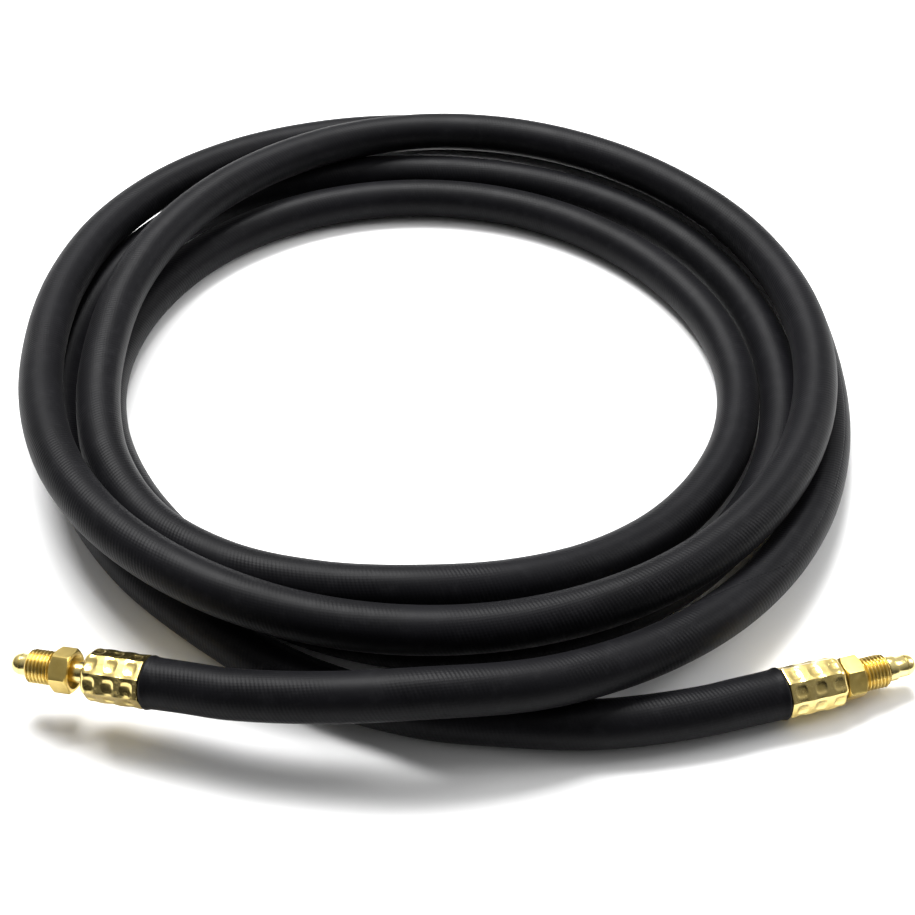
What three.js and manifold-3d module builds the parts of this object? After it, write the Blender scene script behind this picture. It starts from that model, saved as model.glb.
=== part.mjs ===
// TIG torch power cable: a coiled one-piece gas hose with a copper conductor inside, and the same brass
// fitting on both ends. Millimetres, +Z up. The coil lies on the plane z = 0 and its box is centred on x = y = 0.
import * as THREE from "three";
import { mergeVertices } from "three/addons/utils/BufferGeometryUtils.js";
import Module from "manifold-3d";

// Hose, from the outside in: radii of the corners of each layer's ten-sided section.
const HOSE_SIDES = 10;
const HOSE_STEPS = 80;
const COVER = { outer: 7.0, inner: 5.4 };
const BRAID = { outer: 5.1, inner: 4.75 };
const LINER = { outer: 4.45, inner: 3.7 };
const CONDUCTOR_RADIUS = 2.5;

// Ferrule: distances run along the fitting's axis from the ferrule's rear edge towards the nose.
const FERRULE_LENGTH = 17.2;
const FERRULE_CORNER_RADIUS = 7.3;
const FERRULE_FLATS = 8;
const FERRULE_BORE = 6.15;
const FERRULE_WALL = 1.2;
const FERRULE_NOSE_ROUND = 1.7;
const DIMPLE_ROWS = [3.1, 8.7, 14.3];
const DIMPLE_RADIUS = 2.2;
const DIMPLE_DEPTH = 0.3;
const SQUEEZED_COVER = 5.9;
const HOSE_END = 15.6;

// Nipple.
const NOSE_TIP = 39.6;
const NOSE_RADIUS = 3.1;
const NOSE_BORE = 1.2;
const COLLAR = { radius: 3.55, from: 31.3, to: 33.9 };
const NECK_RADIUS = 2.9;
const BARBS = { count: 3, from: 3.4, pitch: 3.8, radius: 3.25, root: 2.8 };
const GAS_HOLE = { radius: 0.8, at: 1.6 };
const CUP = { outer: 3.2, inner: 2.75, from: -9, bottom: -1 };

// Male nut: 7/16 in hexagon, 3/8-24 UNF thread. It slides on the neck until the seat in its front meets the collar.
const HEX_ACROSS_FLATS = 11.1;
const HEX_LENGTH = 5.5;
const THREAD_LENGTH = 7.9;
const THREAD_PITCH = 25.4 / 24;
const THREAD_CREST = 4.72;
const THREAD_ROOT = 4.15;
const NUT_BORE = 3.2;
const COUNTERSINK = { radius: 4.7, depth: 3.0 };
const SEAT = { radius: 3.82, depth: 3.6 };
const NUT_TRAVEL = 3.7;
const CLEARANCE = 0.3;

// The coil, worked out an eighth of a turn at a time. Each row is one turn, from the front by the right,
// the back and the left: how far the hose's middle lies from the middle of the coil, and how high.
const COIL_MIDDLE = [-4.923, -2.831, 0.055];
const TURNS = [
  { out: [143, 138, 135.5, 145, 149, 140, 125.2, 124.8], up: [24, 13.5, 7.1, 7.1, 7.1, 17.5, 23, 28.2] },
  { out: [122, 125, 129, 131, 130.5, 109.5, 104.6, 110.6], up: [24.4, 22.5, 21, 19.7, 20, 24.2, 22.3, 21.5] },
  { out: [105, 103.3, 103.8, 101.5, 101.5, 104, 106, 103.8], up: [21.7, 12, 7.1, 7.1, 7.1, 7.1, 7.1, 7.1] },
  { out: [114, 119.5, 119.8, 120.6, 119.6, 127.2, 122.6, 120.6], up: [7.1, 7.1, 7.1, 7.1, 7.1, 7.1, 7.1, 7.1] },
];
const LAST_STATION = [137, 7.1];
const LOWEST = 7.1;
const POINTS_PER_EIGHTH = 3;

// The two tails outside the coil. Each fitting has its ferrule's rear edge, the way its nose points, and how
// far its nut has slid forward. The hose leaves it straight and joins the coil by the points of its tail.
const FRONT_END = {
  edge: [-72.7, -134.8, 18],
  nose: [-0.97, 0.225, -0.08],
  nutAt: NUT_TRAVEL,
  hexTurn: 51.6,
  ferruleTurn: 6.6,
};
const REAR_END = {
  edge: [101, -130.6, 7.3],
  nose: [0.966, 0.259, 0],
  nutAt: 0,
  hexTurn: 23.6,
  ferruleTurn: 18.6,
};
const STRAIGHT = [0, -12, -24];
const FRONT_TAIL = [[-26, -142.8, 22]];
const REAR_TAIL = [[22, -139.8, 7.1], [50, -140.8, 7.1]];

const UP = new THREE.Vector3(0, 1, 0);
const LATHE_SIDES = 20;

const wasm = await Module();
wasm.setup();

// One value between stations a quarter of the way, half of the way and so on, on a smooth curve through them.
function between(values, at) {
  const last = values.length - 1;
  const i = Math.min(Math.floor(at), last - 1);
  const t = at - i;
  const [a, b, c, d] = [i - 1, i, i + 1, i + 2].map((k) => values[Math.min(Math.max(k, 0), last)]);
  return b + 0.5 * t * (c - a + t * (2 * a - 5 * b + 4 * c - d + t * (3 * (b - c) + d - a)));
}

function coilPoints() {
  const out = [...TURNS.flatMap((turn) => turn.out), LAST_STATION[0]];
  const up = [...TURNS.flatMap((turn) => turn.up), LAST_STATION[1]];
  const points = [];
  const count = (out.length - 1) * POINTS_PER_EIGHTH;
  for (let k = 0; k <= count; k++) {
    const at = k / POINTS_PER_EIGHTH;
    const angle = (at * Math.PI) / 4;
    const r = between(out, at);
    const height = Math.max(between(up, at), LOWEST);
    points.push(new THREE.Vector3(r * Math.sin(angle), -r * Math.cos(angle), height));
  }
  return points;
}

function along(end, distance) {
  const nose = new THREE.Vector3(...end.nose).normalize();
  return new THREE.Vector3(...end.edge).addScaledVector(nose, distance);
}

function hoseRoute() {
  const straight = (end) => [HOSE_END, ...STRAIGHT].map((distance) => along(end, distance));
  const points = [
    ...straight(FRONT_END),
    ...FRONT_TAIL.map((p) => new THREE.Vector3(...p)),
    ...coilPoints(),
    ...REAR_TAIL.map((p) => new THREE.Vector3(...p)),
    ...straight(REAR_END).reverse(),
  ];
  const curve = new THREE.CatmullRomCurve3(points, false, "centripetal");
  curve.arcLengthDivisions = 2000;
  return curve;
}

function ring(radius, sides) {
  const points = [];
  for (let k = 0; k < sides; k++) {
    const angle = (k * 2 * Math.PI) / sides;
    points.push(new THREE.Vector2(radius * Math.cos(angle), radius * Math.sin(angle)));
  }
  return points;
}

function hoseLayer(route, outer, inner) {
  const shape = new THREE.Shape(ring(outer, HOSE_SIDES));
  if (inner) shape.holes.push(new THREE.Path(ring(inner, HOSE_SIDES)));
  return new THREE.ExtrudeGeometry(shape, {
    steps: HOSE_STEPS,
    bevelEnabled: false,
    extrudePath: route,
  });
}

// Booleans: a geometry as a solid, and a solid back as a geometry.
function solid(geometry) {
  const plain = geometry.clone();
  plain.deleteAttribute("normal");
  plain.deleteAttribute("uv");
  const merged = mergeVertices(plain, 1e-4);
  return new wasm.Manifold(
    new wasm.Mesh({
      numProp: 3,
      vertProperties: new Float32Array(merged.attributes.position.array),
      triVerts: new Uint32Array(merged.index.array),
    }),
  );
}

function geometryOf(made) {
  const mesh = made.getMesh();
  const geometry = new THREE.BufferGeometry();
  geometry.setAttribute("position", new THREE.BufferAttribute(mesh.vertProperties, 3));
  geometry.setIndex(new THREE.BufferAttribute(mesh.triVerts, 1));
  const flat = geometry.toNonIndexed();
  flat.computeVertexNormals();
  return flat;
}

function turned(profile, sides = LATHE_SIDES) {
  return new THREE.LatheGeometry(profile.map(([r, y]) => new THREE.Vector2(r, y)), sides);
}

function cylinder(radius, from, to, sides = LATHE_SIDES) {
  return new THREE.CylinderGeometry(radius, radius, to - from, sides).translate(0, (from + to) / 2, 0);
}

// A solid made in the fitting's own frame, moved to where that fitting is on the hose.
function placed(geometry, end) {
  return geometry.clone().applyMatrix4(fittingMatrix(end));
}

function fittingMatrix(end) {
  const nose = new THREE.Vector3(...end.nose).normalize();
  const turn = new THREE.Quaternion().setFromUnitVectors(UP, nose);
  return new THREE.Matrix4().compose(new THREE.Vector3(...end.edge), turn, new THREE.Vector3(1, 1, 1));
}

// The rubber under a ferrule is squeezed thinner than the open hose.
function coverGeometry(route) {
  const squeeze = turned([
    [SQUEEZED_COVER, -CLEARANCE],
    [10, -CLEARANCE],
    [10, HOSE_END + 2],
    [SQUEEZED_COVER, HOSE_END + 2],
    [SQUEEZED_COVER, -CLEARANCE],
  ], 24);
  let cover = solid(hoseLayer(route, COVER.outer, COVER.inner));
  for (const end of [FRONT_END, REAR_END]) {
    cover = cover.subtract(solid(placed(squeeze, end)));
  }
  return geometryOf(cover);
}

// The conductor stops at the bottom of each nipple's cup.
function conductorGeometry(route) {
  const cut = cylinder(4, CUP.bottom - CLEARANCE, HOSE_END + 2);
  let rope = solid(hoseLayer(route, CONDUCTOR_RADIUS, 0));
  for (const end of [FRONT_END, REAR_END]) {
    rope = rope.subtract(solid(placed(cut, end)));
  }
  return geometryOf(rope);
}

function ferruleGeometry() {
  const shoulder = FERRULE_LENGTH - FERRULE_NOSE_ROUND;
  const rounded = turned([
    [0, 0],
    [FERRULE_CORNER_RADIUS + 0.1, 0],
    [FERRULE_CORNER_RADIUS + 0.1, shoulder],
    [FERRULE_CORNER_RADIUS - 0.6, shoulder + 0.45 * FERRULE_NOSE_ROUND],
    [FERRULE_CORNER_RADIUS - 1.5, FERRULE_LENGTH],
    [0, FERRULE_LENGTH],
  ], 24);
  let made = solid(cylinder(FERRULE_CORNER_RADIUS, 0, FERRULE_LENGTH, FERRULE_FLATS)).intersect(solid(rounded));
  made = made.subtract(solid(cylinder(FERRULE_BORE, -1, FERRULE_LENGTH - FERRULE_WALL, 24)));
  made = made.subtract(solid(cylinder(NECK_RADIUS + CLEARANCE, 0, FERRULE_LENGTH + 1)));
  const flat = FERRULE_CORNER_RADIUS * Math.cos(Math.PI / FERRULE_FLATS);
  for (const row of DIMPLE_ROWS) {
    for (let k = 0; k < FERRULE_FLATS; k++) {
      const dimple = new THREE.IcosahedronGeometry(DIMPLE_RADIUS, 1)
        .translate(0, row, flat + DIMPLE_RADIUS - DIMPLE_DEPTH)
        .rotateY(((k + 0.5) * 2 * Math.PI) / FERRULE_FLATS);
      made = made.subtract(solid(dimple));
    }
  }
  return geometryOf(made);
}

function nippleProfile() {
  const profile = [
    [NOSE_BORE, NOSE_TIP - 0.25],
    [1.9, NOSE_TIP - 0.55],
    [2.6, NOSE_TIP - 1.3],
    [2.95, NOSE_TIP - 2.2],
    [2.8, NOSE_TIP - 2.45],
    [NOSE_RADIUS, NOSE_TIP - 2.7],
    [NOSE_RADIUS, COLLAR.to],
    [COLLAR.radius, COLLAR.to],
    [COLLAR.radius, COLLAR.from],
    [NECK_RADIUS, COLLAR.from],
  ];
  const top = BARBS.from + BARBS.count * BARBS.pitch;
  profile.push([NECK_RADIUS, top + 0.4]);
  for (let k = BARBS.count - 1; k >= 0; k--) {
    const foot = BARBS.from + k * BARBS.pitch;
    profile.push([BARBS.radius, foot + BARBS.pitch]);
    profile.push([BARBS.root, foot]);
  }
  profile.push([BARBS.root, 0]);
  profile.push([CUP.outer, -0.5]);
  profile.push([CUP.outer, CUP.from]);
  profile.push([CUP.inner, CUP.from]);
  profile.push([CUP.inner, CUP.bottom]);
  profile.push([0, CUP.bottom]);
  profile.push([0, GAS_HOLE.at - GAS_HOLE.radius]);
  profile.push([NOSE_BORE, GAS_HOLE.at - GAS_HOLE.radius]);
  profile.push([NOSE_BORE, NOSE_TIP - 0.25]);
  return profile;
}

function nippleGeometry() {
  let made = solid(turned(nippleProfile().reverse()));
  for (const angle of [0, Math.PI / 2]) {
    const drill = new THREE.CylinderGeometry(GAS_HOLE.radius, GAS_HOLE.radius, 10, 10)
      .rotateX(Math.PI / 2)
      .rotateY(angle)
      .translate(0, GAS_HOLE.at, 0);
    made = made.subtract(solid(drill));
  }
  return geometryOf(made);
}

function threadProfile() {
  const start = HEX_LENGTH;
  const end = HEX_LENGTH + THREAD_LENGTH;
  const profile = [[0, start - 1], [THREAD_ROOT, start - 1], [THREAD_ROOT, start + 0.4]];
  const turns = Math.floor((THREAD_LENGTH - 0.8) / THREAD_PITCH);
  for (let k = 0; k < turns; k++) {
    const foot = start + 0.4 + k * THREAD_PITCH;
    profile.push([THREAD_CREST, foot + 0.45 * THREAD_PITCH]);
    profile.push([THREAD_CREST, foot + 0.55 * THREAD_PITCH]);
    profile.push([THREAD_ROOT, foot + THREAD_PITCH]);
  }
  profile.push([THREAD_ROOT, end]);
  profile.push([0, end]);
  return profile;
}

function nutGeometry() {
  const corner = HEX_ACROSS_FLATS / 2 / Math.cos(Math.PI / 6);
  const chamfer = turned([
    [0, 0],
    [corner - 0.7, 0],
    [corner, 0.45],
    [corner, HEX_LENGTH - 0.45],
    [corner - 0.7, HEX_LENGTH],
    [0, HEX_LENGTH],
  ], 24);
  let made = solid(cylinder(corner, 0, HEX_LENGTH, 6)).intersect(solid(chamfer));
  made = made.add(solid(turned(threadProfile())));
  const front = HEX_LENGTH + THREAD_LENGTH;
  made = made.subtract(solid(cylinder(NUT_BORE, -1, front + 1)));
  made = made.subtract(solid(cylinder(SEAT.radius, front - SEAT.depth, front + 1)));
  const sink = turned([
    [0, -0.01],
    [COUNTERSINK.radius, -0.01],
    [NUT_BORE, COUNTERSINK.depth],
    [0, COUNTERSINK.depth],
  ]);
  return geometryOf(made.subtract(solid(sink)));
}

function brass(colour, roughness) {
  return new THREE.MeshStandardMaterial({ color: colour, roughness, metalness: 1 });
}

function rubber(colour) {
  return new THREE.MeshStandardMaterial({ color: colour, roughness: 0.8, metalness: 0 });
}

function textile() {
  return new THREE.MeshStandardMaterial({ color: 0xcdbd94, roughness: 0.9, metalness: 0 });
}

function copper() {
  return new THREE.MeshStandardMaterial({ color: 0xb87346, roughness: 0.4, metalness: 1 });
}

function named(name, geometry, material) {
  const mesh = new THREE.Mesh(geometry, material);
  mesh.name = name;
  return mesh;
}

// One end fitting: the ferrule and the nipple stand in the fitting's frame, and the nut sits on the neck.
function fitting(prefix, end) {
  const group = new THREE.Group();
  group.matrixAutoUpdate = false;
  group.matrix.copy(fittingMatrix(end));
  const nut = named(`${prefix}_nut`, nutGeometry(), brass(0xd8b15e, 0.3));
  nut.position.y = FERRULE_LENGTH + CLEARANCE + end.nutAt;
  nut.rotation.y = THREE.MathUtils.degToRad(end.hexTurn);
  const ferrule = named(`${prefix}_ferrule`, ferruleGeometry(), brass(0xe0b453, 0.2));
  ferrule.rotation.y = THREE.MathUtils.degToRad(end.ferruleTurn);
  group.add(ferrule);
  group.add(named(`${prefix}_nipple`, nippleGeometry(), brass(0xd2aa58, 0.25)));
  group.add(nut);
  return group;
}

const route = hoseRoute();
const cable = new THREE.Group();
cable.position.set(...COIL_MIDDLE);
cable.add(named("hose_cover", coverGeometry(route), rubber(0x1c1c1f)));
cable.add(named("hose_braid", hoseLayer(route, BRAID.outer, BRAID.inner), textile()));
cable.add(named("hose_liner", hoseLayer(route, LINER.outer, LINER.inner), rubber(0x2a2a2c)));
cable.add(named("conductor", conductorGeometry(route), copper()));
cable.add(fitting("front", FRONT_END));
cable.add(fitting("rear", REAR_END));

export default cable;
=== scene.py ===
"""Looks of a coiled TIG torch power cable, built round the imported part. Metres, +Z up.

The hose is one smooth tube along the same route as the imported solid, with its braid, liner and copper rope
inside. Each end has a crimped ferrule, a ball-nose nipple and a loose male nut.
"""
import math

import bpy
import numpy as np
from mathutils import Matrix, Vector


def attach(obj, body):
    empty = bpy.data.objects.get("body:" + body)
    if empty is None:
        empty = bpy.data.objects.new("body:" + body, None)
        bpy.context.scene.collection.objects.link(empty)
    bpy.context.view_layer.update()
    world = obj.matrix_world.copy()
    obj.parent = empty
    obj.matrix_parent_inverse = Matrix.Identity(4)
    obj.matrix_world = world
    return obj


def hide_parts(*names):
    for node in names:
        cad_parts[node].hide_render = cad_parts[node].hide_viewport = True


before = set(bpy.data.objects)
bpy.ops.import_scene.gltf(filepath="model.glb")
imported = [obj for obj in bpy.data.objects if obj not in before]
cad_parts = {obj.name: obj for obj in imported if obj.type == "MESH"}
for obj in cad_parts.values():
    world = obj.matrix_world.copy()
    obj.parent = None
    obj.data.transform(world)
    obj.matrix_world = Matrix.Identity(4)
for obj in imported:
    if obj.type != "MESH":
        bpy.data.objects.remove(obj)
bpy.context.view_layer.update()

MM = 0.001

# The coil, an eighth of a turn at a time: how far out and how high the hose's middle is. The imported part's
# hose runs in short straight steps and needs a little more room; this one is smooth and lies up to 3.5 mm from it.
COIL_MIDDLE = np.array([-4.923, -2.831, 0.055])
TURNS = [
    ([143, 138, 134.2, 144.5, 149, 139.9, 125.2, 124.5], [24, 13.5, 7.1, 7.1, 7.1, 16.1, 22.5, 27.8]),
    ([121.8, 125, 128.4, 130.7, 130.5, 112.8, 105.2, 112], [24, 22.5, 20.8, 19.4, 19.4, 24, 22.1, 20.6]),
    ([105.2, 103.6, 104.8, 101.9, 103.4, 106.5, 107, 105.2], [21.7, 12, 7.1, 7.1, 7.1, 7.1, 7.1, 7.1]),
    ([114, 118.4, 119.1, 120.6, 119.9, 127.9, 122.2, 120.3], [7.1] * 8),
]
LAST_STATION = (137, 7.1)
SWING = (31, 2.7)  # from this station on, the hose stays in before it swings out, by this much
LOWEST = 7.1
POINTS_PER_EIGHTH = 3
FRONT = {
    "edge": (-72.7, -134.8, 18), "nose": (-0.97, 0.225, -0.08), "nut_at": 3.7,
    "hex_turn": 51.6, "ferrule_turn": 6.6,
}
REAR = {
    "edge": (101, -130.6, 7.3), "nose": (0.966, 0.259, 0), "nut_at": 0.0,
    "hex_turn": 23.6, "ferrule_turn": 18.6,
}
STRAIGHT = (0, -12, -24)
FRONT_TAIL = [(-26, -142.8, 22)]
REAR_TAIL = [(22, -139.8, 7.1), (50, -140.8, 7.1)]

# Hose.
HOSE_RADIUS = 7.0
HOSE_END = 15.6
SQUEEZED = 5.85
BRAID_RADIUS = 5.1
LINER_RADIUS = 4.45
LINER_BORE = 3.7
LAYER_GAP = (0.15, 0.1)  # cover over braid, braid over liner
HOSE_SIDES = 32
LAYER_SIDES = 20
LAYER_STEPS = 540
HOSE_STEP = 2.5
FINE_STEP = 0.4
FINE_REACH = 9
LOOK_AHEAD = 1.5

# Fitting, in millimetres along its axis from the ferrule's rear edge.
FERRULE_LENGTH = 17.2
FERRULE_FLAT = 6.78
FERRULE_CORNER = 7.27
FERRULE_ROUND = 2.0
FERRULE_BORE = 6.15
FERRULE_FACE = 1.2
FLAT_ANGLE = math.pi / 4
DIMPLE_ROWS = (3.1, 8.7, 14.3)
DIMPLE_HALF = (1.75, 1.7)
DIMPLE_DEPTH = 0.30
ROW_DIP = 0.2
FIN = 0.09
TAIL_RADIUS = 2.8
TAIL_BORE = 2.75
CUP_RADIUS = 3.2
CUP_DEPTH = 9
BARB = (3.25, 3.8)
NECK_RADIUS = 2.9
COLLAR = (3.55, 31.3, 33.9)
NOSE_RADIUS = 3.1
NOSE_TIP = 39.6
NOSE_BORE = 1.2
NOSE_GROOVE = 2.75
NOSE_STEPS = 12
HEX_FLAT = 5.55
HEX_CORNER = 6.34
HEX_LENGTH = 5.5
THREAD_LENGTH = 7.9
THREAD_PITCH = 25.4 / 24
THREAD_CREST = 4.72
THREAD_ROOT = 4.15
NUT_BORE = 3.2
COUNTERSINK = (4.7, 3.0)
SEAT = (3.82, 3.6)
CLEARANCE = 0.3

# Rope.
STRAND_RADIUS = 0.82
STRAND_OUT = 2.03  # in strand radii
STRAND_LAY = 42.0
STRAND_SIDES = 8
ROPE_STEPS = 620

# Looks.
RIB_PITCH = 0.00115
CORD_PITCH = 0.0009
SEAM_SEEN = 0.0072
SEAM_HIDDEN = 0.033
SEAM_TURNS_UP = (0.13, 0.21)
SEAM_TURNS_UNDER = (0.38, 0.60)
# Painted shade with some brown tarnish, laid on the brass in its hollows.
HOLLOW_SHADE_BRASS = (0.20, 0.125, 0.03)
STAINED_BRASS = (0.40, 0.28, 0.08)
WORLD_LOW = 0.02
WORLD_HIGH = 0.62
WORLD_SPAN = (-0.3, 1.1)
WORLD_BACK = 0.9
WORLD_RIGHT = 0.22
LENS = 60.0
SENSOR = 36.0
CAMERA_AIM = (11, -31, 0)
CAMERA_ANGLE = 45
CAMERA_DISTANCE = 0.498
FLOOR_SIZE = 8.0


# ---------------------------------------------------------------- route

def between(values, at):
    """One value between stations, on a smooth curve through them."""
    last = len(values) - 1
    i = min(int(at), last - 1)
    t = at - i
    a, b, c, d = (values[min(max(k, 0), last)] for k in (i - 1, i, i + 1, i + 2))
    return b + 0.5 * t * (c - a + t * (2 * a - 5 * b + 4 * c - d + t * (3 * (b - c) + d - a)))


def coil_points():
    """Points along the coil, with its height held off the floor."""
    out = [v for turn in TURNS for v in turn[0]] + [LAST_STATION[0]]
    up = [v for turn in TURNS for v in turn[1]] + [LAST_STATION[1]]
    points = []
    for k in range((len(out) - 1) * POINTS_PER_EIGHTH + 1):
        at = k / POINTS_PER_EIGHTH
        angle = at * math.pi / 4
        r = between(out, at)
        if at > SWING[0]:
            r -= SWING[1] * math.sin(math.pi * (at - SWING[0]))
        height = max(between(up, at), LOWEST)
        points.append((r * math.sin(angle), -r * math.cos(angle), height))
    return points


def unit(v):
    v = np.array(v, float)
    return v / np.linalg.norm(v)


def straight(end):
    """The hose's first points, in line with its fitting."""
    return [np.array(end["edge"], float) + unit(end["nose"]) * d for d in (HOSE_END, *STRAIGHT)]


def centripetal(points, per_span=24):
    """A dense line along the centripetal Catmull-Rom curve through the points."""
    p = [np.array(q, float) for q in points]
    p = [2 * p[0] - p[1], *p, 2 * p[-1] - p[-2]]
    line = []
    for i in range(1, len(p) - 2):
        d0, d1, d2 = (max(np.linalg.norm(p[i + k] - p[i + k - 1]), 1e-9) ** 0.5 for k in (0, 1, 2))
        t1 = d1 * ((p[i] - p[i - 1]) / d0 - (p[i + 1] - p[i - 1]) / (d0 + d1) + (p[i + 1] - p[i]) / d1)
        t2 = d1 * ((p[i + 1] - p[i]) / d1 - (p[i + 2] - p[i]) / (d1 + d2) + (p[i + 2] - p[i + 1]) / d2)
        for k in range(per_span):
            t = k / per_span
            line.append(
                p[i]
                + t * t1
                + t * t * (3 * (p[i + 1] - p[i]) - 2 * t1 - t2)
                + t ** 3 * (2 * (p[i] - p[i + 1]) + t1 + t2)
            )
    line.append(p[-2])
    return np.array(line)


class Route:
    """The hose's middle line, with a frame that doesn't twist."""

    def __init__(self):
        points = [*straight(FRONT), *FRONT_TAIL, *coil_points(), *REAR_TAIL, *reversed(straight(REAR))]
        line = centripetal(points) + COIL_MIDDLE
        gone = np.concatenate([[0], np.cumsum(np.linalg.norm(np.diff(line, axis=0), axis=1))])
        self.length = gone[-1]
        self.line = line
        self.gone = gone

    def at(self, s):
        return np.stack([np.interp(s, self.gone, self.line[:, k]) for k in range(3)], axis=1)

    def frames(self, s):
        """Middle, side and up vectors at each distance."""
        centre = self.at(s)
        ahead = self.at(np.minimum(s + LOOK_AHEAD, self.length)) - self.at(np.maximum(s - LOOK_AHEAD, 0))
        ahead /= np.linalg.norm(ahead, axis=1)[:, None]
        side = np.zeros_like(centre)
        v = np.cross(ahead[0], (0, 0, 1))
        for k, t in enumerate(ahead):
            v = v - t * v.dot(t)
            v /= np.linalg.norm(v)
            side[k] = v
        return centre, side, np.cross(side, ahead)


route = Route()


# ---------------------------------------------------------------- meshes

def make_mesh(name, points, faces, uv=None, sharp=32):
    """A mesh in metres from points in millimetres. uv has one pair for each corner of each face, in order."""
    mesh = bpy.data.meshes.new(name)
    mesh.from_pydata((np.asarray(points) * MM).tolist(), [], faces)
    mesh.shade_smooth()
    mesh.set_sharp_from_angle(angle=math.radians(sharp))
    if uv is not None:
        layer = mesh.uv_layers.new(name="lay")
        layer.data.foreach_set("uv", np.asarray(uv, np.float32).ravel())
    piece = bpy.data.objects.new(name, mesh)
    bpy.context.scene.collection.objects.link(piece)
    return piece


def tube(name, s, radius, sides, inner=None, offset=0.0, twist=0.0, start=0.0):
    """A tube along the route. radius is one value or one for each distance; inner makes it hollow.

    Its "lay" map runs round and along it in metres. offset, twist and start wind it round the route, as a
    strand of a rope.
    """
    s = np.asarray(s, float)
    centre, side, up = route.frames(s)
    outer = np.broadcast_to(np.asarray(radius, float), s.shape)
    turn = twist * s + start
    if offset:
        centre = centre + offset * (np.cos(turn)[:, None] * side + np.sin(turn)[:, None] * up)
    walls = [outer] if inner is None else [outer, np.broadcast_to(float(inner), s.shape)]
    angles = np.arange(sides) * 2 * math.pi / sides
    points, faces, uvs = [], [], []
    rows = len(s)
    for w, wall in enumerate(walls):
        a = angles[None, :] + turn[:, None]
        ring = centre[:, None, :] + wall[:, None, None] * (
            np.cos(a)[..., None] * side[:, None, :] + np.sin(a)[..., None] * up[:, None, :]
        )
        points.append(ring.reshape(-1, 3))
        first = w * rows * sides
        around = 2 * math.pi * float(np.max(wall)) * MM
        for i in range(rows - 1):
            for k in range(sides):
                n = (k + 1) % sides
                here, there = first + i * sides, first + (i + 1) * sides
                face = [here + k, here + n, there + n, there + k]
                corners = [(k, i), (k + 1, i), (k + 1, i + 1), (k, i + 1)]
                if w == 1:
                    face.reverse()
                    corners.reverse()
                faces.append(face)
                uvs.extend((u / sides * around, s[v] * MM) for u, v in corners)
    ends = [(0, False), (rows - 1, True)]
    for row, far in ends:
        if inner is None:
            cap = [row * sides + k for k in range(sides)]
            if not far:
                cap.reverse()
            faces.append(cap)
            uvs.extend((0, s[row] * MM) for _ in cap)
            continue
        for k in range(sides):
            n = (k + 1) % sides
            o, i = row * sides, rows * sides + row * sides
            face = [o + n, o + k, i + k, i + n]
            if far:
                face.reverse()
            faces.append(face)
            uvs.extend((0, s[row] * MM) for _ in face)
    return make_mesh(name, np.concatenate(points), faces, uvs, sharp=50)


def fitting_matrix(end, turn=0.0, along=0.0):
    """From a piece's own frame, +Y along its axis, to its place on the hose."""
    nose = Vector(end["nose"]).normalized()
    y = Vector((0, 1, 0))
    cross = y.cross(nose)
    swing = Matrix.Rotation(y.angle(nose), 4, cross) if cross.length > 1e-9 else Matrix.Identity(4)
    move = Matrix.Translation((Vector(end["edge"]) + Vector(COIL_MIDDLE)) * MM)
    return move @ swing @ Matrix.Rotation(math.radians(turn), 4, "Y") @ Matrix.Translation((0, along * MM, 0))


def turned(name, stations, sides, matrix, sharp=32):
    """A closed ring of stations swept round the Y axis.

    A station is a function of angle that gives (radius, y).
    """
    angles = np.arange(sides) * 2 * math.pi / sides
    points = []
    for station in stations:
        r, y = station(angles)
        r, y = np.broadcast_to(r, angles.shape), np.broadcast_to(y, angles.shape)
        points.append(np.stack([r * np.sin(angles), y, r * np.cos(angles)], axis=1))
    rows = len(stations)
    faces, uvs = [], []
    for i in range(rows):
        j = (i + 1) % rows
        for k in range(sides):
            n = (k + 1) % sides
            faces.append([i * sides + k, i * sides + n, j * sides + n, j * sides + k])
            uvs.extend((corner / sides, i / rows) for corner in (k, k + 1, k + 1, k))
    piece = make_mesh(name, np.concatenate(points), faces, uvs, sharp)
    piece.matrix_world = matrix
    return piece


def ring(r, y):
    """A plain round station."""
    return lambda angles: (r, y)


# ---------------------------------------------------------------- hose

def hose_distances():
    """Distances along the hose, closer together near each ferrule."""
    hidden = np.arange(0, HOSE_END - 1, 3.0)
    fine = np.concatenate([hidden, np.arange(HOSE_END - 1, HOSE_END + FINE_REACH, FINE_STEP)])
    middle = np.arange(HOSE_END + FINE_REACH, route.length - HOSE_END - FINE_REACH, HOSE_STEP)
    return np.concatenate([fine, middle, route.length - fine[::-1]])


def cover_radius(s):
    """Round rubber, squeezed under the ferrules, with a lip where it comes out of them."""
    out = np.minimum(s, route.length - s) - HOSE_END
    lip = 0.34 * np.exp(-(((out - 1.0) / 0.9) ** 2)) + 0.16 * np.exp(-np.maximum(out, 0) / 5.0)
    open_hose = HOSE_RADIUS - 0.04 + 0.03 * np.sin(s / 37.0) * np.sin(s / 11.3 + 1.0) + lip
    blend = np.clip((out + 0.25) / 0.7, 0, 1)
    blend = blend * blend * (3 - 2 * blend)
    return SQUEEZED + (open_hose - SQUEEZED) * blend


def make_hose():
    s = hose_distances()
    return tube("hose_cover_fine", s, cover_radius(s), HOSE_SIDES, inner=BRAID_RADIUS + LAYER_GAP[0])


def make_layers():
    """The braid and the liner."""
    s = np.arange(0, route.length + 0.1, route.length / LAYER_STEPS)
    braid = tube("hose_braid_fine", s, BRAID_RADIUS, LAYER_SIDES, inner=LINER_RADIUS + LAYER_GAP[1])
    liner = tube("hose_liner_fine", s, LINER_RADIUS, LAYER_SIDES, inner=LINER_BORE)
    return braid, liner


def joined(pieces, name):
    bpy.ops.object.select_all(action="DESELECT")
    for piece in pieces:
        piece.select_set(True)
    bpy.context.view_layer.objects.active = pieces[0]
    bpy.ops.object.join()
    pieces[0].name = name
    return pieces[0]


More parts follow.
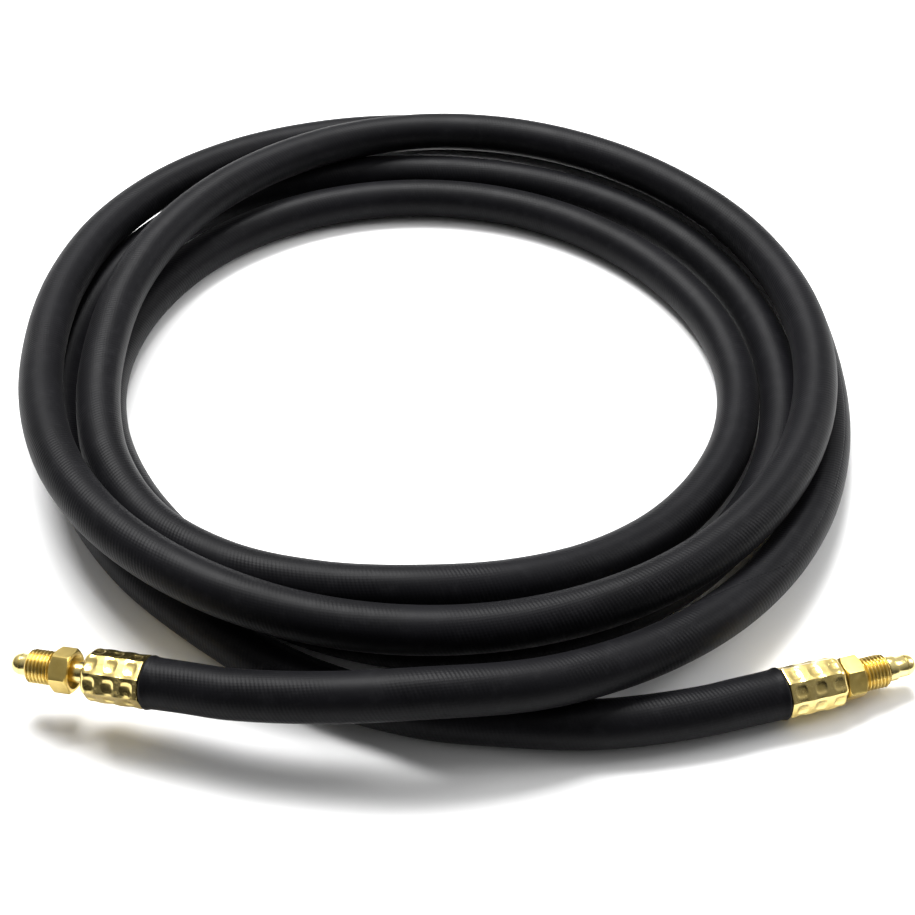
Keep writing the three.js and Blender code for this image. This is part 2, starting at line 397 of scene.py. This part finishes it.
def make_conductor():
    """A rope of seven strands, six laid round one."""
    first = HOSE_END + CLEARANCE + 1.0
    s = np.linspace(first, route.length - first, ROPE_STEPS)
    strands = [tube("strand_core", s, STRAND_RADIUS, STRAND_SIDES)]
    for k in range(6):
        strands.append(
            tube(
                f"strand_{k}", s, STRAND_RADIUS, STRAND_SIDES,
                offset=STRAND_OUT * STRAND_RADIUS, twist=2 * math.pi / STRAND_LAY, start=k * math.pi / 3,
            )
        )
    return joined(strands, "conductor_rope")


# ---------------------------------------------------------------- fittings

def ferrule_wall(y):
    """Eight crimped flats with a soft dimple in each of three rows, fins between them, and a rounded front."""
    def station(angles):
        facet = np.floor(angles / FLAT_ANGLE)
        off = angles - (facet + 0.5) * FLAT_ANGLE
        across = FERRULE_FLAT * np.tan(off)
        r = np.minimum(FERRULE_FLAT / np.cos(off), FERRULE_CORNER)
        ridge = np.clip(np.abs(off) / 0.39, 0, 1) ** 3
        for n, row in enumerate(DIMPLE_ROWS):
            uneven = np.sin(facet * 2.4 + n * 1.7)
            x = y - row - 0.15 * uneven
            aside = across + 0.15 * np.cos(facet * 3.1 + n)
            q = np.abs(aside / DIMPLE_HALF[0]) ** 3 + np.abs(x / DIMPLE_HALF[1]) ** 3
            inside = np.clip(1 - q, 0, 1)
            r = r - (DIMPLE_DEPTH + 0.04 * uneven) * inside * (1.4 - 0.4 * inside)
            r = r - ROW_DIP * np.exp(-((x / 1.5) ** 2)) * ridge
        r = r + FIN * (np.abs(off) > 0.385)
        lead = FERRULE_LENGTH - y
        if lead < FERRULE_ROUND:
            r = np.minimum(r, FERRULE_CORNER - 0.1) - (
                FERRULE_ROUND - math.sqrt(max(FERRULE_ROUND ** 2 - (FERRULE_ROUND - lead) ** 2, 0))
            )
        if y < 0.3:
            r = r - 0.3 * (1 - y / 0.3) ** 2
        return r, y
    return station


def make_ferrule(name, end):
    wall = np.arange(0.5, FERRULE_LENGTH - FERRULE_ROUND, 0.2)
    rounding = FERRULE_LENGTH - FERRULE_ROUND * (1 - np.sin(np.linspace(0, 1, 9) * math.pi / 2))
    ys = np.concatenate([[0, 0.08, 0.18, 0.3], wall, rounding])
    stations = [ring(FERRULE_BORE, 0.0)]
    stations += [ferrule_wall(y) for y in ys]
    hole = NECK_RADIUS + CLEARANCE
    back = FERRULE_LENGTH - FERRULE_FACE
    stations += [ring(hole + 0.15, FERRULE_LENGTH), ring(hole, FERRULE_LENGTH - 0.15), ring(hole, back)]
    stations += [ring(FERRULE_BORE, back)]
    return turned(name, stations, 8 * 14, fitting_matrix(end, end["ferrule_turn"]), sharp=24)


def make_nipple(name, end):
    """From the cup that holds the rope, along the barbed tail, neck and collar, to the ball nose and its bore."""
    collar, back, front = COLLAR
    barb, step = BARB
    profile = [(TAIL_BORE, -CUP_DEPTH), (CUP_RADIUS, -CUP_DEPTH), (CUP_RADIUS, -0.5)]
    profile += [(TAIL_RADIUS, 0), (TAIL_RADIUS, 3.4)]
    for k in range(3):
        foot = 3.4 + k * step
        profile += [(TAIL_RADIUS, foot + 0.01), (barb, foot + step - 0.05), (barb, foot + step)]
    profile += [(NECK_RADIUS, 14.9), (NECK_RADIUS, back - 0.25), (NECK_RADIUS + 0.08, back)]
    profile += [(collar - 0.2, back + 0.02), (collar - 0.05, back + 0.1), (collar, back + 0.3)]
    profile += [(collar, front - 0.35), (collar - 0.06, front - 0.15), (collar - 0.22, front)]
    profile += [(NOSE_RADIUS + 0.05, front + 0.02), (NOSE_RADIUS, front + 0.12)]
    groove = NOSE_TIP - NOSE_GROOVE
    profile += [(NOSE_RADIUS, groove - 0.15), (NOSE_RADIUS - 0.2, groove), (NOSE_RADIUS - 0.05, groove + 0.16)]
    wide, tall = NOSE_RADIUS - 0.25 - NOSE_BORE, NOSE_TIP - groove - 0.25
    for k in range(1, NOSE_STEPS + 1):
        a = k / NOSE_STEPS * math.pi / 2
        profile.append((NOSE_BORE + 0.2 + wide * math.cos(a), groove + 0.2 + tall * math.sin(a)))
    profile += [(NOSE_BORE + 0.06, NOSE_TIP - 0.09), (NOSE_BORE, NOSE_TIP - 0.2), (NOSE_BORE, -1), (TAIL_BORE, -1)]
    return turned(name, [ring(r, y) for r, y in profile], 64, fitting_matrix(end), sharp=30)


def hex_wall(y):
    """A hexagon with both ends chamfered round."""
    def station(angles):
        off = np.mod(angles, math.pi / 3) - math.pi / 6
        r = np.minimum(HEX_FLAT / np.cos(off), HEX_CORNER)
        end = min(y, HEX_LENGTH - y)
        return np.minimum(r, HEX_FLAT - 0.12 + 1.75 * end), y
    return station


def thread_wall(y):
    """A right-hand thread that runs out into a groove behind and a chamfer in front."""
    end = HEX_LENGTH + THREAD_LENGTH

    def station(angles):
        phase = np.mod(y / THREAD_PITCH - angles / (2 * math.pi), 1.0)
        height = np.clip(1.22 - 2.6 * np.abs(phase - 0.5), 0, 1)
        grown = np.clip((y - HEX_LENGTH - 0.5) / 0.5, 0, 1)
        r = THREAD_ROOT + (THREAD_CREST - THREAD_ROOT) * height * grown
        return np.minimum(r, THREAD_ROOT - 0.05 + 0.9 * (end - y)), y
    return station


def make_nut(name, end):
    sink, depth = COUNTERSINK
    seat, seat_depth = SEAT
    total = HEX_LENGTH + THREAD_LENGTH
    stations = [ring(NUT_BORE, depth), ring(NUT_BORE + 0.06, depth - 0.08)]
    stations += [ring(sink - 0.05, 0.08), ring(sink + 0.04, 0)]
    near = [0, 0.08, 0.16, 0.24, 0.32, 0.42, 0.55]
    stations += [hex_wall(y) for y in near + [1.6, 2.75, 3.9] + [HEX_LENGTH - y for y in reversed(near)]]
    stations += [ring(THREAD_ROOT + 0.12, HEX_LENGTH + 0.01), ring(THREAD_ROOT, HEX_LENGTH + 0.12)]
    stations += [thread_wall(y) for y in np.arange(HEX_LENGTH + 0.3, total + 0.001, THREAD_PITCH / 10)]
    stations += [ring(seat + 0.1, total), ring(seat, total - 0.1), ring(seat, total - seat_depth)]
    stations += [ring(NUT_BORE, total - seat_depth)]
    place = fitting_matrix(end, end["hex_turn"], FERRULE_LENGTH + CLEARANCE + end["nut_at"])
    return turned(name, stations, 96, place, sharp=28)


# ---------------------------------------------------------------- materials

class Shader:
    """A material's nodes, made and linked in one call each."""

    def __init__(self, name):
        self.material = bpy.data.materials.new(name)
        self.material.use_nodes = True
        self.tree = self.material.node_tree
        self.surface = next(n for n in self.tree.nodes if n.type == "BSDF_PRINCIPLED")

    def node(self, kind, inputs=None, **settings):
        made = self.tree.nodes.new("ShaderNode" + kind)
        for key, value in settings.items():
            setattr(made, key, value)
        for key, value in (inputs or {}).items():
            self.give(made.inputs[key], value)
        return made

    def give(self, socket, value):
        if isinstance(value, bpy.types.NodeSocket):
            self.tree.links.new(value, socket)
        elif isinstance(value, bpy.types.Node):
            self.tree.links.new(value.outputs[0], socket)
        else:
            socket.default_value = value

    def math(self, operation, a, b=0.0, c=0.0, clamp=False):
        return self.node("Math", {0: a, 1: b, 2: c}, operation=operation, use_clamp=clamp).outputs[0]

    def noise(self, vector, scale, detail=2.0, rough=0.5, distort=0.0):
        inputs = {"Vector": vector, "Scale": scale, "Detail": detail, "Roughness": rough, "Distortion": distort}
        return self.node("TexNoise", inputs).outputs["Fac"]

    def ramp(self, value, low, high):
        return self.node("MapRange", {"Value": value, "From Min": low, "From Max": high}).outputs["Result"]

    def mix(self, factor, a, b):
        mixed = self.node("Mix", data_type="RGBA")
        self.give(mixed.inputs["Factor"], factor)
        self.give(mixed.inputs["A"], a)
        self.give(mixed.inputs["B"], b)
        return mixed.outputs["Result"]

    def stretch(self, vector, scale):
        return self.node("Mapping", {"Vector": vector, "Scale": scale}).outputs["Vector"]

    def bump(self, height, distance, strength=1.0, under=None):
        inputs = {"Height": height, "Distance": distance, "Strength": strength}
        if under is not None:
            inputs["Normal"] = under
        return self.node("Bump", inputs).outputs["Normal"]

    def set(self, **values):
        for key, value in values.items():
            self.give(self.surface.inputs[key.replace("_", " ")], value)


def rgb(r, g, b):
    return (r, g, b, 1.0)


def along_and_round(shader):
    """The hose's own map in metres: round it, along it, and both."""
    both = shader.node("UVMap", uv_map="lay").outputs["UV"]
    parts = shader.node("SeparateXYZ", {"Vector": both})
    return parts.outputs["X"], parts.outputs["Y"], both


def wave(shader, value, period, phase=0.0):
    turns = shader.math("MULTIPLY_ADD", value, 2 * math.pi / period, phase)
    return shader.math("SINE", turns)


def rubber_cover():
    m = Shader("hose_rubber")
    around, along, lay = along_and_round(m)
    place = m.node("TexCoord").outputs["Object"]
    # The cloth that the hose was cured in leaves slanting ribs across it and fainter lines along it.
    wander = m.math("MULTIPLY", m.noise(place, 90.0, 3.0), 3.0)
    ribs = wave(m, m.math("MULTIPLY_ADD", around, 0.32, along), RIB_PITCH, wander)
    cords = wave(m, m.math("MULTIPLY_ADD", along, -0.06, around), CORD_PITCH)
    grain = m.noise(m.stretch(lay, (1.0, 2.2, 1.0)), 1500.0, 3.0, 0.65)
    worn = m.ramp(m.noise(place, 45.0, 3.0), 0.3, 0.6)
    cloth = m.math("MULTIPLY", m.math("MULTIPLY_ADD", cords, 0.25, ribs), worn)
    mottle = m.noise(place, 28.0, 4.0, 0.6, 0.4)
    colour = m.mix(m.ramp(mottle, 0.3, 0.7), rgb(0.0016, 0.0016, 0.0022), rgb(0.0034, 0.0033, 0.0044))
    # Chalky dust lies thin in random patches, with a few bright specks.
    dust = m.math("MULTIPLY", m.ramp(m.noise(place, 210.0, 5.0, 0.7), 0.52, 0.82), 0.25, clamp=True)
    colour = m.mix(dust, colour, rgb(0.022, 0.022, 0.024))
    specks = m.node("TexVoronoi", {"Vector": place, "Scale": 130.0, "Randomness": 1.0})
    speck = m.math("LESS_THAN", specks.outputs["Distance"], 0.03)
    chance = m.node("SeparateColor", {"Color": specks.outputs["Color"]}).outputs[0]
    rare = m.math("GREATER_THAN", chance, 0.95)
    colour = m.mix(m.math("MULTIPLY", speck, rare), colour, rgb(0.11, 0.11, 0.11))
    # The mould's parting line, a thin dotted seam that the hose's twist shows on one stretch only.
    down = m.math("ADD", 1.0, m.ramp(along, *SEAM_TURNS_UNDER))
    down = m.math("SUBTRACT", down, m.ramp(along, *SEAM_TURNS_UP))
    under = m.math("MULTIPLY", down, SEAM_HIDDEN - SEAM_SEEN)
    line = m.math("ABSOLUTE", m.math("SUBTRACT", m.math("SUBTRACT", around, SEAM_SEEN), under))
    dots = m.ramp(wave(m, along, 0.0016), -0.2, 0.6)
    seam = m.math("SUBTRACT", 1.0, m.ramp(line, 0.0, 0.0004), clamp=True)
    seam = m.math("MULTIPLY", seam, m.math("MULTIPLY_ADD", dots, 0.6, 0.4))
    rough = m.math("MULTIPLY_ADD", m.noise(place, 60.0, 4.0, 0.6), 0.16, 0.40)
    normal = m.bump(cloth, 0.00003, 0.8)
    normal = m.bump(grain, 0.00003, 0.6, normal)
    normal = m.bump(mottle, 0.0009, 0.25, normal)
    normal = m.bump(seam, 0.0002, 0.8, normal)
    m.set(Base_Color=colour, Roughness=rough, Normal=normal, IOR=1.45)
    m.set(Sheen_Weight=0.015, Sheen_Roughness=0.5, Specular_IOR_Level=0.1)
    return m.material


def liner_rubber():
    m = Shader("liner_rubber")
    place = m.node("TexCoord").outputs["Object"]
    mottle = m.noise(place, 60.0, 3.0)
    m.set(
        Base_Color=m.mix(mottle, rgb(0.010, 0.010, 0.010), rgb(0.022, 0.021, 0.020)),
        Roughness=m.math("MULTIPLY_ADD", mottle, 0.2, 0.45),
        Normal=m.bump(m.noise(place, 900.0, 3.0), 0.00002, 0.5),
    )
    return m.material


def braid_yarn():
    m = Shader("braid_yarn")
    around, along, lay = along_and_round(m)
    left = wave(m, m.math("ADD", along, around), 0.0024)
    right = wave(m, m.math("SUBTRACT", along, around), 0.0024)
    weave = m.math("MULTIPLY", left, right)
    fibres = m.noise(m.stretch(lay, (1.0, 4.0, 1.0)), 900.0, 4.0)
    tint = m.mix(m.ramp(weave, -1.0, 1.0), rgb(0.42, 0.34, 0.19), rgb(0.66, 0.57, 0.38))
    m.set(
        Base_Color=m.mix(m.math("MULTIPLY", fibres, 0.5), tint, rgb(0.3, 0.24, 0.13)),
        Roughness=0.9,
        Normal=m.bump(m.math("MULTIPLY_ADD", fibres, 0.3, weave), 0.00025, 0.8),
        Sheen_Weight=0.3,
    )
    return m.material


def copper_wire():
    m = Shader("copper_rope")
    around, along, lay = along_and_round(m)
    wires = wave(m, m.math("MULTIPLY_ADD", along, 0.35, around), 0.00064)
    tone = m.noise(lay, 240.0, 4.0)
    m.set(
        Base_Color=m.mix(tone, rgb(0.55, 0.22, 0.11), rgb(0.86, 0.47, 0.28)),
        Metallic=1.0,
        Roughness=m.math("MULTIPLY_ADD", tone, 0.25, 0.22),
        Normal=m.bump(wires, 0.0001, 0.8),
    )
    return m.material


def brass(name, light, deep, rough, marks, wear, hollow_shade):
    """Yellow brass between two tones.

    marks is the pitch of the tool's lines round the piece, and wear how dull its patches are. The last argument
    is painted shade, with some brown tarnish, in the hollows: the metal browns from one radius in to another, by
    this much.
    """
    m = Shader(name)
    place = m.node("TexCoord").outputs["Object"]
    parts = m.node("SeparateXYZ", {"Vector": place}).outputs
    tone = m.noise(place, 260.0, 4.0, 0.6, 0.3)
    stain = m.ramp(m.noise(place, 640.0, 5.0, 0.7, 0.8), 0.5, 0.85)
    colour = m.mix(m.ramp(tone, 0.25, 0.75), light, deep)
    colour = m.mix(m.math("MULTIPLY", stain, wear), colour, rgb(*STAINED_BRASS))
    # Painted shade, with some brown tarnish: the metal turns brown towards the piece's axis, in dimples, bores and
    # thread roots.
    flat = m.node("CombineXYZ", {"X": parts["X"], "Y": parts["Z"]})
    radial = m.node("VectorMath", {0: flat}, operation="LENGTH").outputs["Value"]
    hollow_shading = m.math("MULTIPLY", m.ramp(radial, hollow_shade[0], hollow_shade[1]), hollow_shade[2])
    colour = m.mix(hollow_shading, colour, rgb(*HOLLOW_SHADE_BRASS))
    handled = m.noise(m.stretch(place, (1.0, 0.35, 1.0)), 900.0, 4.0, 0.6)
    turned_lines = m.noise(m.stretch(place, (0.02, 1.0, 0.02)), 1.0 / marks, 2.0)
    ripple = wave(m, parts["Y"], marks)
    roughness = m.math("MULTIPLY_ADD", handled, 0.16, rough)
    roughness = m.math("MULTIPLY_ADD", stain, 0.15, roughness)
    normal = m.bump(m.math("MULTIPLY_ADD", ripple, 0.2, turned_lines), 0.000012, 0.6)
    normal = m.bump(tone, 0.00016, 0.3, normal)
    m.set(Base_Color=colour, Metallic=1.0, Roughness=roughness, Normal=normal)
    return m.material


def cover_with(piece, material):
    piece.data.materials.clear()
    piece.data.materials.append(material)


# ---------------------------------------------------------------- stage, light and camera

def make_floor():
    bpy.ops.mesh.primitive_plane_add(size=FLOOR_SIZE, location=(0, 0, 0))
    floor = bpy.context.object
    floor.name = "floor"
    m = Shader("floor_paper")
    place = m.node("TexCoord").outputs["Object"]
    m.set(
        Base_Color=m.mix(m.noise(place, 3.0), rgb(0.86, 0.86, 0.86), rgb(0.88, 0.88, 0.88)),
        Roughness=0.9,
        Specular_IOR_Level=0.1,
    )
    cover_with(floor, m.material)


def area_light(name, place, aim, size, power):
    data = bpy.data.lights.new(name, "AREA")
    data.shape = "RECTANGLE"
    data.size, data.size_y = size
    data.energy = power
    lamp = bpy.data.objects.new(name, data)
    bpy.context.scene.collection.objects.link(lamp)
    lamp.location = place
    lamp.rotation_euler = (Vector(aim) - Vector(place)).to_track_quat("-Z", "Y").to_euler()


def make_world():
    """A white studio, lighter behind, above and to the right, and darker low in front."""
    world = bpy.data.worlds.new("studio")
    bpy.context.scene.world = world
    world.use_nodes = True
    tree = world.node_tree
    back = tree.nodes["Background"]
    coord = tree.nodes.new("ShaderNodeTexCoord")
    parts = tree.nodes.new("ShaderNodeSeparateXYZ")
    tree.links.new(coord.outputs["Generated"], parts.inputs[0])
    total = parts.outputs["Z"]
    for direction, weight in (("Y", WORLD_BACK), ("X", WORLD_RIGHT)):
        added = tree.nodes.new("ShaderNodeMath")
        added.operation = "MULTIPLY_ADD"
        tree.links.new(parts.outputs[direction], added.inputs[0])
        added.inputs[1].default_value = weight
        tree.links.new(total, added.inputs[2])
        total = added.outputs[0]
    scale = tree.nodes.new("ShaderNodeMapRange")
    tree.links.new(total, scale.inputs["Value"])
    limits = (*WORLD_SPAN, WORLD_LOW, WORLD_HIGH)
    for socket, value in zip(("From Min", "From Max", "To Min", "To Max"), limits):
        scale.inputs[socket].default_value = value
    back.inputs["Color"].default_value = rgb(1, 1, 1)
    tree.links.new(scale.outputs["Result"], back.inputs["Strength"])


def make_camera():
    data = bpy.data.cameras.new("camera")
    data.lens, data.sensor_width = LENS, SENSOR
    camera = bpy.data.objects.new("camera", data)
    bpy.context.scene.collection.objects.link(camera)
    target = (Vector(CAMERA_AIM) + Vector(COIL_MIDDLE)) * MM
    angle = math.radians(CAMERA_ANGLE)
    back = Vector((0, -math.cos(angle), math.sin(angle)))
    camera.location = target + back * CAMERA_DISTANCE
    camera.rotation_euler = (-back).to_track_quat("-Z", "Y").to_euler()
    bpy.context.scene.camera = camera


# ---------------------------------------------------------------- the object

make_camera()

hose = make_hose()
braid, liner = make_layers()
conductor = make_conductor()
cover_with(hose, rubber_cover())
cover_with(braid, braid_yarn())
cover_with(liner, liner_rubber())
cover_with(conductor, copper_wire())

# The last values give each brass its painted shade, with some brown tarnish, in the hollows.
ferrule_brass = brass(
    "ferrule_brass", rgb(0.92, 0.74, 0.31), rgb(0.80, 0.61, 0.20),
    rough=0.13, marks=0.0006, wear=0.2, hollow_shade=(0.0067, 0.0061, 0.45),
)
nipple_brass = brass(
    "nipple_brass", rgb(0.93, 0.78, 0.36), rgb(0.83, 0.65, 0.24),
    rough=0.13, marks=0.00022, wear=0.12, hollow_shade=(0.0026, 0.0012, 0.6),
)
nut_brass = brass(
    "nut_brass", rgb(0.78, 0.60, 0.20), rgb(0.64, 0.46, 0.12),
    rough=0.26, marks=0.00018, wear=0.12, hollow_shade=(0.0047, 0.0036, 0.8),
)

on_cable = [(hose, "hose_cover", "hose_rubber"), (braid, "hose_braid", "braid_yarn")]
on_cable += [(liner, "hose_liner", "liner_rubber"), (conductor, "conductor", "copper_rope")]
far_pieces = [braid, liner, conductor]
for prefix, end in (("front", FRONT), ("rear", REAR)):
    ferrule = make_ferrule(f"{prefix}_ferrule_fine", end)
    nipple = make_nipple(f"{prefix}_nipple_fine", end)
    nut = make_nut(f"{prefix}_nut_fine", end)
    cover_with(ferrule, ferrule_brass)
    cover_with(nipple, nipple_brass)
    cover_with(nut, nut_brass)
    on_cable.append((ferrule, f"{prefix}_ferrule", "ferrule_brass"))
    on_cable.append((nipple, f"{prefix}_nipple", "nipple_brass"))
    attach(nut, f"{prefix}_nut")
    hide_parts(f"{prefix}_nut")
    if prefix == "rear":
        far_pieces += [ferrule, nipple, nut]
for piece, node, slot in on_cable:
    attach(piece, "cable")
    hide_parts(node)

make_floor()
make_world()
area_light("back_softbox", (-0.2, 0.6, 1.15), (0, 0, 0), (0.85, 0.5), 40.0)
area_light("right_softbox", (1.1, 0.25, 0.7), (0.1, 0, 0), (0.5, 0.7), 8.0)
area_light("top_softbox", (-0.02, 0.02, 0.5), (0, 0, 0), (0.3, 0.3), 0.5)
bpy.context.scene.view_settings.view_transform = "Standard"
